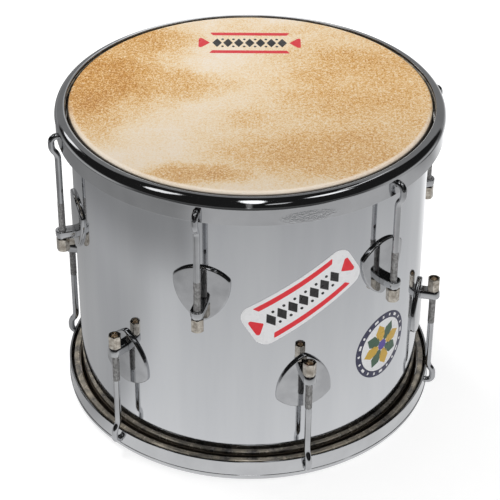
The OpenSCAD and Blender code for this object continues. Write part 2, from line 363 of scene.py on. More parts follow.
# polished metal: clouded tone and roughness, fine grain, and slow waves in the sheet
def metal(name, light, dark, roughness, cloud=40.0, streak=(1, 1, 1), grain=900.0, waves=0.0,
          waveScale=12.0, metallic=1.0):
    material, tree, shader = newMaterial(name)
    place = objectPlace(tree)
    tone = noiseOn(tree, objectPlace(tree, streak), cloud, detail=4)
    feed(tree, shader, "Base Color", mixColours(tree, tone, (*dark, 1), (*light, 1)))
    smear = noiseOn(tree, place, cloud * 2.3, detail=5, toLow=roughness[0], toHigh=roughness[1])
    feed(tree, shader, "Roughness", smear)
    shader.inputs["Metallic"].default_value = metallic
    fine = noiseOn(tree, place, grain, detail=2)
    slow = noiseOn(tree, place, waveScale, detail=1, toHigh=waves)
    bumpOn(tree, shader, mathOn(tree, "MULTIPLY_ADD", fine, 0.02, slow), 0.35, 0.0004)
    return material


aluminium = metal("polishedAluminium", (0.73, 0.74, 0.755), (0.67, 0.68, 0.70), (0.04, 0.09),
                  cloud=14.0, streak=(2.2, 2.2, 0.25), grain=700.0, waves=1.0, waveScale=9.0)
chrome = metal("chromedSteel", (0.57, 0.575, 0.585), (0.47, 0.475, 0.485), (0.04, 0.11),
               cloud=60.0, grain=1200.0, waves=0.35, waveScale=60.0)
hoopChrome = metal("hoopChrome", (0.66, 0.665, 0.675), (0.59, 0.595, 0.605), (0.03, 0.08),
                   cloud=30.0, grain=1100.0, waves=1.1, waveScale=30.0)
nutMetal = metal("nutPlating", (0.72, 0.67, 0.59), (0.36, 0.32, 0.27), (0.08, 0.22),
                 cloud=260.0, grain=1500.0)
# the pale golden streaks are a warm tint of the steel, brightened into painted highlight
fleshSteel = metal("fleshHoopSteel", (0.90, 0.80, 0.64), (0.27, 0.255, 0.24), (0.12, 0.30),
                   cloud=90.0, streak=(1, 1, 0.4), grain=600.0, waves=0.5, waveScale=30.0, metallic=0.6)
fixingZinc = metal("zincPlatedFixings", (0.66, 0.67, 0.68), (0.52, 0.53, 0.54), (0.22, 0.38), cloud=120.0)

# handling marks on the skirt of the top hoop, right of the front
scuff = {"azimuth": 16.5, "skirtR": 164.5, "z": 124.5, "halfSizes": (0.024, 0.02, 0.0055),
         "depth": 2.4, "roughening": 0.16}


def addScuff(material):
    tree = material.node_tree
    bump = [n for n in tree.nodes if n.type == "BUMP"][0]
    shader = tree.nodes["Principled BSDF"]
    a = math.radians(scuff["azimuth"])
    r = scuff["skirtR"] * mm
    place = (r * math.sin(a), -r * math.cos(a), (drum["midHeight"] + scuff["z"]) * mm)
    reach = reachFrom(tree, objectCoords(tree), place, scuff["halfSizes"], a)
    marks = noiseOn(tree, objectPlace(tree, (1, 1, 1.6)), 420.0, detail=5, rough=0.7, low=0.40, high=0.60)
    marks = product(tree, marks, smoothStep(tree, reach, 1.15, 0.55))
    for node, name, amount in ((bump, "Height", scuff["depth"]), (shader, "Roughness", scuff["roughening"])):
        before = node.inputs[name].links[0].from_socket
        feed(tree, node, name, mathOn(tree, "MULTIPLY_ADD", marks, amount, before))


addScuff(hoopChrome)

threadLook = {
    # steel and brown are each a dark and a light tone
    "steel": ((0.34, 0.335, 0.33, 1), (0.72, 0.715, 0.71, 1)),
    "brown": ((0.16, 0.085, 0.04, 1), (0.66, 0.50, 0.32, 1)),
    "brownTo": 0.019, "steelFrom": 0.027,  # metres from mid-height
}


# bright steel thread that has browned at its bare end
def threadFinish():
    material, tree, shader = newMaterial("rodThread")
    coords = objectCoords(tree)
    parts = addNode(tree, "ShaderNodeSeparateXYZ", {0: coords})
    away = mathOn(tree, "ABSOLUTE", mathOn(tree, "SUBTRACT", parts.outputs["Z"], drum["midHeight"] * mm))
    fresh = remap(tree, away, threadLook["brownTo"], threadLook["steelFrom"])
    patches = noiseOn(tree, coords, 420.0, detail=4)
    steel = mixColours(tree, patches, *threadLook["steel"])
    brown = mixColours(tree, patches, *threadLook["brown"])
    feed(tree, shader, "Base Color", mixColours(tree, fresh, brown, steel))
    feed(tree, shader, "Roughness", noiseOn(tree, coords, 300.0, toLow=0.35, toHigh=0.5))
    shader.inputs["Metallic"].default_value = 0.55
    return material


skinLook = {
    "pale": (0.92, 0.825, 0.71, 1),
    "cream": (0.88, 0.68, 0.42, 1),
    "tan": (0.70, 0.365, 0.085, 1),
    "brown": (0.46, 0.19, 0.045, 1),
    "frontShade": (0.46, 0.36, 0.25, 1),
    "collar": (0.10, 0.085, 0.07, 1),
    "unlit": (0.45, 0.33, 0.2, 1),
    "speckle": 0.95, "speckleScale": 700.0, "pores": 0.40, "poreScale": 330.0,
    "wander": 0.07, "wanderScale": 18.0,
    "edgeHighlightR": (0.1490, 0.1515), "edgeHighlight": 0.7, "collarR": (0.1530, 0.1538),
    # soft darker fields: centre x, y, half width, half depth (m), weight
    "fields": [
        (-0.136, 0.026, 0.052, 0.088, 1.55), (-0.100, 0.100, 0.052, 0.036, 1.2),
        (-0.118, -0.015, 0.040, 0.032, 0.85), (-0.066, 0.026, 0.050, 0.032, 0.95),
        (-0.040, -0.122, 0.040, 0.022, 1.15), (0.098, 0.020, 0.096, 0.092, 0.95),
        (0.062, -0.090, 0.096, 0.050, 1.05), (0.014, -0.040, 0.040, 0.030, 0.62),
        (0.125, -0.050, 0.040, 0.060, 0.85), (0.030, 0.125, 0.060, 0.016, 0.4)],
}


# how far the hide is tanned at each place, with edges that wander
def tanFields(tree, coords):
    drift = addNode(tree, "ShaderNodeTexNoise", {"Vector": coords}, {
        "Scale": skinLook["wanderScale"], "Detail": 4.0, "Roughness": 0.6})
    centred = addNode(tree, "ShaderNodeVectorMath", {0: drift.outputs["Color"]}, {1: (0.5, 0.5, 0.5)},
                      operation="SUBTRACT")
    bent = addNode(tree, "ShaderNodeVectorMath", {0: centred.outputs[0], 2: coords},
                   {1: (skinLook["wander"], skinLook["wander"], 0.0)}, operation="MULTIPLY_ADD")
    fields = []
    for x, y, halfX, halfY, weight in skinLook["fields"]:
        reach = reachFrom(tree, bent.outputs[0], (x, y, 0), (halfX, halfY, 1e6))
        fields.append(smoothStep(tree, reach, 0.35, 1.5, weight, 0.0))
    cloud = noiseOn(tree, coords, 22.0, detail=5, rough=0.62, low=0.3, high=0.72, toLow=-0.14, toHigh=0.40)
    return mathOn(tree, "ADD", chainOn(tree, "MAXIMUM", fields), cloud)


# goat hide: cream with tan fields that break up into fine grain
def skinFinish(name, shade=1.0):
    look = skinLook
    material, tree, shader = newMaterial(name)
    coords = objectCoords(tree)
    total = tanFields(tree, coords)
    speckle = noiseOn(tree, coords, look["speckleScale"], detail=2, rough=0.75, low=0.34, high=0.66,
                      toLow=-look["speckle"], toHigh=look["speckle"])
    pores = noiseOn(tree, coords, look["poreScale"], detail=2, rough=0.6, low=0.34, high=0.66,
                    toLow=-look["pores"], toHigh=look["pores"])
    grain = mathOn(tree, "ADD", speckle, pores)
    strength = mathOn(tree, "MULTIPLY_ADD", total, 0.55, 0.32)
    stirred = mathOn(tree, "ADD", total, product(tree, grain, strength))
    colour = mixColours(tree, remap(tree, stirred, -0.25, 0.55), look["pale"], look["cream"])
    colour = mixColours(tree, remap(tree, stirred, 0.45, 1.5), colour, look["tan"])
    colour = mixColours(tree, remap(tree, stirred, 1.35, 2.3), colour, look["brown"])
    y = addNode(tree, "ShaderNodeSeparateXYZ", {0: coords}).outputs["Y"]
    level = addNode(tree, "ShaderNodeVectorMath", {0: coords}, {1: (1, 1, 0)}, operation="MULTIPLY")
    radius = lengthOf(tree, level.outputs[0])
    # painted shade greys the hide towards the front, a painted highlight makes it pale along the front edge,
    # and painted shade makes it dark beside the shell
    colour = mixColours(tree, remap(tree, y, 0.03, -0.14, 0.0, 0.32), colour, look["frontShade"])
    edgeHighlight = product(tree, smoothStep(tree, radius, *look["edgeHighlightR"], 0.0, look["edgeHighlight"]),
                     smoothStep(tree, y, 0.0, -0.07))
    colour = mixColours(tree, edgeHighlight, colour, look["pale"])
    colour = mixColours(tree, smoothStep(tree, radius, *look["collarR"]), colour, look["collar"])
    # below 1, shade mixes the unlit tone into the colour: painted shade, given to the bottom hide
    if shade < 1:
        colour = mixColours(tree, 1 - shade, colour, look["unlit"])
    feed(tree, shader, "Base Color", colour)
    feed(tree, shader, "Roughness", noiseOn(tree, coords, 90.0, toLow=0.5, toHigh=0.68))
    shader.inputs["Specular IOR Level"].default_value = 0.2
    slow = noiseOn(tree, coords, 60.0, detail=3)
    bumpOn(tree, shader, mathOn(tree, "MULTIPLY_ADD", grain, 0.5, slow), 0.25, 0.0003)
    return material


topHide = skinFinish("topHide")
bottomHide = skinFinish("bottomHide", 0.85)


# printed colour with faint wear in it
def inkFinish(name, colour, roughness=0.35):
    material, tree, shader = newMaterial(name)
    coords = objectCoords(tree)
    worn = noiseOn(tree, coords, 500.0, detail=4, low=0.42, high=0.8, toHigh=0.22)
    lighter = tuple(min(1.0, c * 0.75 + 0.12) for c in colour)
    feed(tree, shader, "Base Color", mixColours(tree, worn, (*colour, 1), (*lighter, 1)))
    smear = noiseOn(tree, coords, 150.0, toLow=roughness - 0.08, toHigh=roughness + 0.08)
    feed(tree, shader, "Roughness", smear)
    return material


whiteVinyl = inkFinish("whiteVinyl", (0.80, 0.80, 0.81), 0.3)
redInk = inkFinish("redInk", (0.74, 0.022, 0.035))
blackInk = inkFinish("blackInk", (0.012, 0.011, 0.012))
navyInk = inkFinish("navyInk", (0.022, 0.022, 0.065))
greenInk = inkFinish("greenInk", (0.04, 0.10, 0.055))
yellowInk = inkFinish("yellowInk", (0.60, 0.37, 0.04))
blueInk = inkFinish("blueInk", (0.09, 0.055, 0.32))
print("materials made")


# shell

def buildShell():
    r, t, bead, leg = drum["shellR"], drum["sheet"], drum["beadR"], drum["beadLeg"]
    top, low = drum["topEdge"] - bead, -(drum["footEdge"] - bead)
    cx = r - bead
    # rolled edge: over the bead, down its leg and back inside, heights from the bead's middle
    rolled = arcPoints(cx, 0, bead, 0, 180, 20) + [(cx - bead, -leg), (cx - bead + t, -leg)]
    rolled += arcPoints(cx, 0, bead - t, 180, 0, 12)
    profile = [(x, top + z) for x, z in rolled]
    profile += [(r - t, top - (top - low) * k / 12) for k in range(1, 12)]
    profile += [(x, low - z) for x, z in reversed(rolled)]
    profile += [(r, low + (top - low) * k / 24) for k in range(1, 24)]
    bm = bmesh.new()
    lathe(bm, profile, atHead("top"), steps=360)
    return makePiece("polished_shell", bm, [aluminium])


shell = buildShell()

# hoops, flesh hoops and skins

hoop = {
    "lipR": 156.5, "faceZ": 141.6, "rimT": 2.1, "outR": 165.5, "rimR": 7.8, "rimZ": 133.8, "step": 0.5,
    "skirtR": 163.4, "skirtEdge": 119.5, "holeZ": 129.0, "holeR": 3.1,
    "punchR": 164.5, "punchL": 8.0,
}
fleshHoop = {"inR": 155.95, "outR": 160.95, "top": 138.87, "height": 17.8, "edge": 1.0}
membrane = {"underR": 3.3, "overR": 4.1, "collarDrop": 13, "flare": 1.5}


def buildHoop(head):
    h = hoop
    inZ = h["faceZ"] - h["rimT"]
    out = h["outR"] - h["step"]
    profile = roundedLoop([
        (h["lipR"], inZ, 0.4), (h["lipR"], h["faceZ"], 0.6), (h["outR"], h["faceZ"], h["rimR"]),
        (h["outR"], h["rimZ"] - 0.25, 0.2), (out, h["rimZ"] - 0.45, 0.15), (out, h["skirtEdge"], 0.3),
        (h["skirtR"], h["skirtEdge"], 0.3), (h["skirtR"], inZ, h["rimR"] - h["rimT"])], steps=12)
    bm = bmesh.new()
    lathe(bm, profile, atHead(head), steps=360)
    piece = makePiece(head + "_hoop_ring", bm, [hoopChrome])
    cutter = bmesh.new()
    z = drum["midHeight"] + headSide[head] * h["holeZ"]
    place = Matrix.Translation((h["punchR"] * mm, 0, z * mm))
    outwards = Matrix.Rotation(math.pi / 2, 4, "Y")
    r = h["holeR"] * mm
    for i in range(drum["lugs"]):
        bmesh.ops.create_cone(cutter, cap_ends=True, segments=32, radius1=r, radius2=r,
                              depth=h["punchL"] * mm, matrix=lugTurn(head, i) @ place @ outwards)
    punch = makePiece(head + "_punch", cutter, [])
    modifier = piece.modifiers.new("holes", "BOOLEAN")
    modifier.operation, modifier.solver, modifier.object = "DIFFERENCE", "EXACT", punch
    bake(piece)
    bpy.data.objects.remove(punch)
    return piece


def buildFleshHoop(head):
    f = fleshHoop
    low = f["top"] - f["height"]
    corners = [(f["inR"], f["top"]), (f["inR"], low), (f["outR"], low), (f["outR"], f["top"])]
    bm = bmesh.new()
    lathe(bm, roundedLoop([(r, z, f["edge"]) for r, z in corners], 6), atHead(head))
    return makePiece(head + "_flesh_ring", bm, [fleshSteel])


def buildSkin(head):
    edge = drum["topEdge"] if head == "top" else drum["footEdge"]
    cx, cz = drum["shellR"] - drum["beadR"], edge - drum["beadR"]
    under, over, flare = membrane["underR"], membrane["overR"], membrane["flare"]
    foot = cz - membrane["collarDrop"]
    flat = [cx * k / 30 for k in range(30)]
    profile = [(x, cz + over) for x in flat] + arcPoints(cx, cz, over, 90, 0, 12)
    profile += [(cx + over + flare, foot), (cx + under + flare, foot)]
    profile += arcPoints(cx, cz, under, 0, 90, 10) + [(x, cz + under) for x in reversed(flat)]
    bm = bmesh.new()
    lathe(bm, profile, atHead(head), steps=240)
    return makePiece(head + "_hide", bm, [topHide if head == "top" else bottomHide])


rings = {head: (buildHoop(head), buildFleshHoop(head), buildSkin(head)) for head in heads}
print("shell, hoops and skins made")

# lug plates

plate = {
    "width": 48.5, "height": 53.0, "tipZ": 18.0, "wideAt": 38.0, "crownR": 31.5, "cornerR": 4.0, "tipR": 5.0,
    "faceR": 155.8, "seatR": 153.05, "edge": 1.4, "land": 0.15, "middle": 31.0,
}


def meetCircles(p, rp, q, rq):
    d = (q - p).length
    along = (rp * rp - rq * rq + d * d) / (2 * d)
    across = math.sqrt(rp * rp - along * along)
    u = (q - p) / d
    return p + along * u + across * Vector((u.y, -u.x))


# shield with a rounded tip, bowed sides and a crowned edge, drawn in by inset
def plateOutline(inset):
    p = plate
    tip, crown = Vector((0, p["tipR"])), Vector((0, p["height"] - p["crownR"]))
    half, rise = p["width"] / 2, p["wideAt"] - p["tipR"]
    sideR = (half ** 2 + rise ** 2 - p["tipR"] ** 2) / (p["width"] - 2 * p["tipR"])
    side = Vector((half - sideR, p["wideAt"]))
    corner = meetCircles(crown, p["crownR"] - p["cornerR"], side, sideR - p["cornerR"])

    def angle(a, b):
        return math.degrees(math.atan2(b.y - a.y, b.x - a.x))

    points = arcPoints(*tip, p["tipR"] - inset, -90, angle(side, tip), 8)
    points += arcPoints(*side, sideR - inset, angle(side, tip), angle(side, corner), 26)[1:]
    points += arcPoints(*corner, p["cornerR"] - inset, angle(side, corner), angle(crown, corner), 10)[1:]
    points += arcPoints(*crown, p["crownR"] - inset, angle(crown, corner), 90, 18)[1:]
    return points + [(-x, y) for x, y in reversed(points[1:-1])]


def buildPlates(head):
    p = plate
    edge, flush = p["edge"], p["faceR"] - p["edge"]
    rows = [(0.0, p["seatR"]), (0.0, flush)]
    for k in range(1, 9):
        a = math.radians(90 * k / 8)
        rows.append((edge * (1 - math.cos(a)), flush + edge * math.sin(a)))
    rows.append((edge + p["land"], p["faceR"]))
    sections = [(plateOutline(inset), r) for inset, r in rows]
    # the pressed face, drawn in to a small patch round its middle
    middle = Vector((0, p["middle"]))
    last = sections[-1][0]
    for k in range(1, 14):
        s = 1 - k / 14
        sections.append(([middle + (Vector(point) - middle) * s for point in last], p["faceR"]))
    bm = bmesh.new()
    loops = [[bm.verts.new(Vector((math.sqrt(r * r - y * y), y, p["tipZ"] + z)) * mm) for y, z in points]
             for points, r in sections]
    joinLoops(bm, loops)
    bm.faces.new(loops[-1])
    bm.faces.new(loops[0][::-1])
    return roundHead(makePiece(head + "_lug_plates", bm, [chrome]), head, chrome)


# lug arms

arm = {
    "z": 33.0, "width": 11.0, "height": 8.0, "edge": 0.8, "nutEdge": (1.9, 5.2), "land": 0.12,
    "root": 155.85, "eyeR": 6.0, "holeR": 3.3, "holeBevel": 0.4,
    "shankR": 3.0, "shankEnd": 141.0, "pitch": 1.0,
}


def buildArms(head):
    a = arm
    axis = drum["rodR"]
    half, top = a["width"] / 2, a["height"] / 2
    bm = bmesh.new()

    def outline(inset):
        spread = math.degrees(math.asin(min(1, half / a["eyeR"])))
        eye = arcPoints(axis, 0, a["eyeR"] - inset, -spread, spread, 26)
        root = a["root"] + inset * 0.15
        sides = [(root + (eye[-1][0] - root) * k / 6, half - inset) for k in range(5, -1, -1)]
        return eye + sides + [(x, -y) for x, y in reversed(sides)]

    # the side towards the nut is cast with a deep round, the side towards the head with a crisp edge
    steps = [math.radians(t) for t in (0, 12, 24, 36, 48, 60, 72, 84, 90)]
    (inset, depth), edge = a["nutEdge"], a["edge"]
    rows = [(inset + a["land"], -top)]
    rows += [(inset * (1 - math.sin(t)), -top + depth * (1 - math.cos(t))) for t in steps]
    rows += [(edge * (1 - math.sin(t)), top - edge * (1 - math.cos(t))) for t in reversed(steps)]
    rows.append((edge + a["land"], top))
    body = [[bm.verts.new(Vector((x, y, a["z"] + z)) * mm) for x, y in outline(inset)] for inset, z in rows]
    joinLoops(bm, body)
    r, bevel = a["holeR"], a["holeBevel"]
    lower = [(r + bevel + 0.1, -top), (r + bevel, -top), (r, bevel - top)]
    hole = [[bm.verts.new(Vector((axis + r * math.cos(t), r * math.sin(t), a["z"] + z)) * mm)
             for t in circle(32)]
            for r, z in lower + [(r, -z) for r, z in reversed(lower)]]
    joinLoops(bm, hole)
    bm.edges.ensure_lookup_table()
    for ends in ((body[0], hole[0]), (body[-1], hole[-1])):
        edges = [bm.edges.get(pair) for loop in ends for pair in zip(loop, loop[1:] + loop[:1])]
        bmesh.ops.triangle_fill(bm, use_beauty=True, edges=edges)

    # threaded shank that goes through the shell
    def alongShank(x, y, z):
        return Vector((z, x, a["z"] + y)) * mm

    end, r, pitch = a["shankEnd"], a["shankR"], a["pitch"]
    profile = [(0.0, end), (r - 0.5, end)]
    for k in range(int((a["root"] - end) / pitch)):
        crest = end + 0.4 + k * pitch
        profile += [(r - 0.05, crest), (r - 0.45, crest + pitch / 2)]
    profile += [(r - 0.2, a["root"] + 0.6), (0.0, a["root"] + 0.6)]
    lathe(bm, profile, alongShank, steps=24, closed=False)
    return roundHead(makePiece(head + "_lug_arms", bm, [chrome]), head, chrome)


# tension rods

rod = {
    "wireR": 2.8, "threadR": 3.0, "threadDeep": 0.5, "pitch": 1.0, "end": 17.5, "threadL": 47.5,
    "legR": 171.2, "jogZ": 107.8, "jogRise": 13.2, "jogR": 10.0, "jogAngle": 36.87,
    "hookR": 5.0, "hookZ": 129.0, "tipR": 161.7,
}


# middle line of the wire in (x, z): up from the thread, out past the hoop and in through its skirt
def rodPath():
    r, x = rod, drum["rodR"]
    path = [(x, r["end"] + r["threadL"] - 1.0), (x, r["jogZ"] - 6)]
    path += arcPoints(x + r["jogR"], r["jogZ"], r["jogR"], 180, 180 - r["jogAngle"], 9)
    path += arcPoints(r["legR"] - r["jogR"], r["jogZ"] + r["jogRise"], r["jogR"], -r["jogAngle"], 0, 9)
    path += arcPoints(r["legR"] - r["hookR"], r["hookZ"] - r["hookR"], r["hookR"], 0, 90, 14)
    return path + [(r["tipR"], r["hookZ"])]


def buildRods(head):
    bm = bmesh.new()
    wire(bm, rodPath(), rod["wireR"])
    return roundHead(makePiece(head + "_rod_wires", bm, [chrome]), head, chrome)


def buildThreads(head):
    x, low, length = drum["rodR"], rod["end"], rod["threadL"]
    bm = bmesh.new()
    wire(bm, [(x, low), (x, low + 20), (x, low + length)], rod["threadR"] - rod["threadDeep"])
    piece = makePiece(head + "_rod_threads", bm, [rodThread])
    modifier = piece.modifiers.new("thread", "NODES")
    modifier.node_group = cutThread
    setInputs(modifier, {"Thread Radius": rod["threadR"] * mm, "Pitch": rod["pitch"] * mm,
                         "Start": (low + 0.5) * mm, "Length": (length - 1.0) * mm,
                         "Axis X": x * mm, "Finish": rodThread})
    return roundHead(bake(piece), head, rodThread)


# tension nuts

nut = {
    "flats": 10.0, "length": 12.0, "z": 16.95, "bore": 3.05, "cupR": 3.8, "cupDepth": 1.6, "cornerR": 0.7,
    "bevel": 0.58, "faceIn": 0.12, "rim": 0.3, "spin": 17,  # spin is degrees from one nut to the next
}


def buildNut(head, index):
    n = nut
    half, length, bore, cup, rim = n["flats"] / 2, n["length"], n["bore"], n["cupR"], n["rim"]
    point = half / math.cos(math.pi / 6)
    corners = [math.radians(60 * k) for k in range(6)]
    outline = roundedLoop([(point * math.cos(a), point * math.sin(a), n["cornerR"]) for a in corners], 8)
    dense = []
    for a, b in zip(outline, outline[1:] + outline[:1]):
        parts = 10 if math.dist(a, b) > 1.5 else 1
        dense += [(a[0] + (b[0] - a[0]) * k / parts, a[1] + (b[1] - a[1]) * k / parts) for k in range(parts)]
    unit = [(x / math.hypot(x, y), y / math.hypot(x, y)) for x, y in dense]
    bm = bmesh.new()
    turn = lugTurn(head, index - 1)
    spin = math.radians((n["spin"] * index) % 60)
    c, s = math.cos(spin), math.sin(spin)

    def vert(x, y, z):
        height = drum["midHeight"] + headSide[head] * (n["z"] + z)
        return bm.verts.new(turn @ (Vector((drum["rodR"] + c * x - s * y, s * x + c * y, height)) * mm))

    def ring(r, z):
        return [vert(x * r, y * r, z) for x, y in unit]

    faceR = half - n["faceIn"]
    reach = max(math.hypot(*p) for p in dense)

    # how far the chamfer has fallen at a point of the outline
    def drop(p):
        return (point - half) * n["bevel"] * (math.hypot(*p) - faceR) / (reach - faceR)

    loops = [ring(*at) for at in ((cup, rim), (cup + rim, 0.0), (half - 0.25, 0.0), (faceR, 0.01))]
    for start, side in ((0.0, 1), (0.25, 1), (length - 0.25, -1), (length, -1)):
        loops.append([vert(*p, start + side * drop(p)) for p in dense])
    loops += [ring(*at) for at in (
        (faceR, length - 0.01), (half - 0.25, length), (bore + rim, length), (bore, length - rim),
        (bore, n["cupDepth"] + 0.4), (cup - rim, n["cupDepth"]), (cup, n["cupDepth"] - rim))]
    joinLoops(bm, loops + loops[:1])
    return makePiece(f"{head}_tension_nut_{index}", bm, [nutMetal], sharpAbove=30)


rodThread = threadFinish()
lugPieces = {}
for head in heads:
    lugPieces[head] = {"plates": buildPlates(head), "arms": buildArms(head), "rods": buildRods(head),
                       "threads": buildThreads(head), "nuts": [buildNut(head, i) for i in numbers]}
print("plates, arms, rods and nuts made")

# printed badges: plain bars, lozenges and rings of no maker

badge = {
    "width": 105.0, "height": 41.0, "azimuth": 16.8, "z": 37.0, "tilt": 31.0, "cornerR": 11.0,
    "lift": 0.14, "wall": 0.12, "layer": 0.03,
    "bars": {"outer": 3.2, "inner": 7.8, "end": 14, "slant": 3},
    "wedges": {"outer": 3.5, "inner": 14.5, "half": 10.5},
    "lozenges": {"count": 7, "pitch": 10.4, "halfW": 4.6, "halfH": 7.2, "dotY": 6.0, "dotR": 1.3},
    "print": {"x": -1.0, "y": 100.0, "z": 142.6, "scaleX": 0.93, "scaleY": 1.15, "lift": 0.06, "wall": 0.05},
    "round": {"azimuth": 48.0, "z": -40.0, "radius": 31.5, "band": 6.2, "blocks": 20, "blockR": (2.0, 4.4),
              "petals": 8, "petalTurn": 12, "heartR": 5.0},
}
petal = [(5, -1.5), (9, -4.6), (16, -5.6), (22.5, 0), (16, 5.6), (9, 4.6), (5, 1.5)]


# shapes of the long badge, as (material index, points)
def barsAndLozenges():
    w, h = badge["width"] / 2, badge["height"] / 2
    bars, wedges, gems = badge["bars"], badge["wedges"], badge["lozenges"]
    shapes = []
    for side in (-1, 1):
        high, low = side * (h - bars["outer"]), side * (h - bars["inner"])
        long = w - bars["end"]
        short = long - bars["slant"]
        bar = [(-long, high, 0.5), (long, high, 0.5), (short, low, 0.5), (-short, low, 0.5)]
        outer, inner, half = side * (w - wedges["outer"]), side * (w - wedges["inner"]), wedges["half"]
        wedge = [(outer, -half, 2.0), (outer, half, 2.0), (inner, 0, 1.0)]
        shapes += [(1, roundedLoop(bar[::side], 3)), (1, roundedLoop(wedge[::side], 4))]
    for k in range(gems["count"]):
        x = (k - gems["count"] // 2) * gems["pitch"]
        a, b = gems["halfW"], gems["halfH"]
        shapes.append((2, roundedLoop([(x - a, 0, 0.3), (x, -b, 0.3), (x + a, 0, 0.3), (x, b, 0.3)], 2)))
        if k < gems["count"] - 1:
            for side in (-1, 1):
                dot = arcPoints(x + gems["pitch"] / 2, side * gems["dotY"], gems["dotR"], 0, 345, 22)
                shapes.append((2, dot))
    return shapes


# flat shapes on top of one another, the first one lowest
def flatShapes(shapes, lift, layer):
    bm = bmesh.new()
    for k, (index, points) in enumerate(shapes):
        level = 0 if k == 0 else 1 if index in (0, 5) else 2
        face = bm.faces.new([bm.verts.new((x, y, lift + layer * level)) for x, y in points])
        face.material_index = index % 5
    return bm


def onShell(bm, azimuth, z, tilt, sliceStep=2.5):
    bmesh.ops.rotate(bm, verts=bm.verts, cent=(0, 0, 0), matrix=Matrix.Rotation(math.radians(tilt), 3, "Z"))
    xs = [v.co.x for v in bm.verts]
    x = min(xs) + sliceStep
    while x < max(xs):
        geometry = bm.verts[:] + bm.edges[:] + bm.faces[:]
        bmesh.ops.bisect_plane(bm, geom=geometry, plane_co=(x, 0, 0), plane_no=(1, 0, 0))
        x += sliceStep
    for v in bm.verts:
        a = math.radians(azimuth) + v.co.x / drum["shellR"]
        r = drum["shellR"] + v.co.z
        v.co = Vector((r * math.sin(a), -r * math.cos(a), drum["midHeight"] + z + v.co.y)) * mm


# gives each flat shape its thin wall, downwards
def layered(bm, depth):
    bmesh.ops.recalc_face_normals(bm, faces=bm.faces)
    for face in bm.faces:
        if face.normal.z < 0:
            face.normal_flip()
    made = bmesh.ops.extrude_face_region(bm, geom=bm.faces[:])
    for v in made["geom"]:
        if isinstance(v, bmesh.types.BMVert):
            v.co.z -= depth


def buildLongBadge():
    b = badge
    w, h, r = b["width"] / 2, b["height"] / 2, b["cornerR"]
    ground = roundedLoop([(-w, -h, r), (w, -h, r), (w, h, r), (-w, h, r)], 8)
    bm = flatShapes([(0, ground)] + barsAndLozenges(), b["lift"], b["layer"])
    layered(bm, b["wall"])
    onShell(bm, b["azimuth"], b["z"], b["tilt"])
    return makePiece("long_badge", bm, [whiteVinyl, redInk, blackInk], sharpAbove=50)


def buildRoundBadge():
    b = badge["round"]
    r = b["radius"]
    shapes = [(1, arcPoints(0, 0, r, 0, 354, 59)), (5, arcPoints(0, 0, r - b["band"], 0, 354, 59))]
    for k in range(b["blocks"]):
        a, width = 18 * k, 2.0 + 2.5 * (k % 3 == 0)
        outer = arcPoints(0, 0, r - b["blockR"][0], a - width, a + width, 3)
        shapes.append((5, outer + arcPoints(0, 0, r - b["blockR"][1], a + width, a - width, 3)))
    for k in range(b["petals"]):
        a = math.radians(45 * k + b["petalTurn"])
        turned = [(x * math.cos(a) - y * math.sin(a), x * math.sin(a) + y * math.cos(a)) for x, y in petal]
        shapes.append((2 if k % 2 else 3, turned))
    shapes.append((4, arcPoints(0, 0, b["heartR"], 0, 345, 23)))
    bm = flatShapes(shapes, badge["lift"], badge["layer"])
    layered(bm, badge["wall"])
    onShell(bm, b["azimuth"], b["z"], 0)
    inks = [whiteVinyl, navyInk, greenInk, yellowInk, blueInk]
    return makePiece("round_badge", bm, inks, sharpAbove=50)


def buildHeadPrint():
    p = badge["print"]
    bm = flatShapes(barsAndLozenges(), p["lift"], 0.0)
    layered(bm, p["wall"])
    height = drum["midHeight"] + p["z"]
    for v in bm.verts:
        v.co = Vector((p["x"] + v.co.x * p["scaleX"], p["y"] + v.co.y * p["scaleY"], height + v.co.z)) * mm
    return makePiece("head_print", bm, [redInk, redInk, blackInk], sharpAbove=50)


badges = [buildLongBadge(), buildRoundBadge()]
headPrint = buildHeadPrint()
print("badges made")

# bodies and replaced nodes

def settle(piece, body, slotName, *nodes):
    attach(piece, body)
    if nodes:
        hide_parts(*nodes)


settle(shell, "drum", "shell", "shell")
for head in heads:
    ring, flesh, hide = rings[head]
    rim = head + "_rim"
    settle(ring, rim, "hoops", head + "_hoop")
    settle(flesh, rim, "flesh_hoops", head + "_flesh_hoop")
    settle(hide, "drum", head + "_skin", head + "_skin")
    kit = lugPieces[head]
    settle(kit["plates"], "drum", "plates", *[f"{head}_plate_{i}" for i in numbers])
    settle(kit["arms"], "drum", "arms", *[f"{head}_arm_{i}" for i in numbers])
    settle(kit["rods"], rim, "rods", *[f"{head}_rod_{i}" for i in numbers])
    settle(kit["threads"], rim, "rods")
    for i in numbers:
        settle(kit["nuts"][i - 1], f"{head}_nut_{i}", "nuts", f"{head}_nut_{i}")
for piece in badges:
    settle(piece, "drum", "shell")
settle(headPrint, "drum", "top_skin")
for name in ("shank_washers", "shank_nuts"):
    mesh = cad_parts[name].data
    mesh.materials.clear()
    mesh.materials.append(fixingZinc)
print("pieces settled on their bodies")

# floor, studio and camera

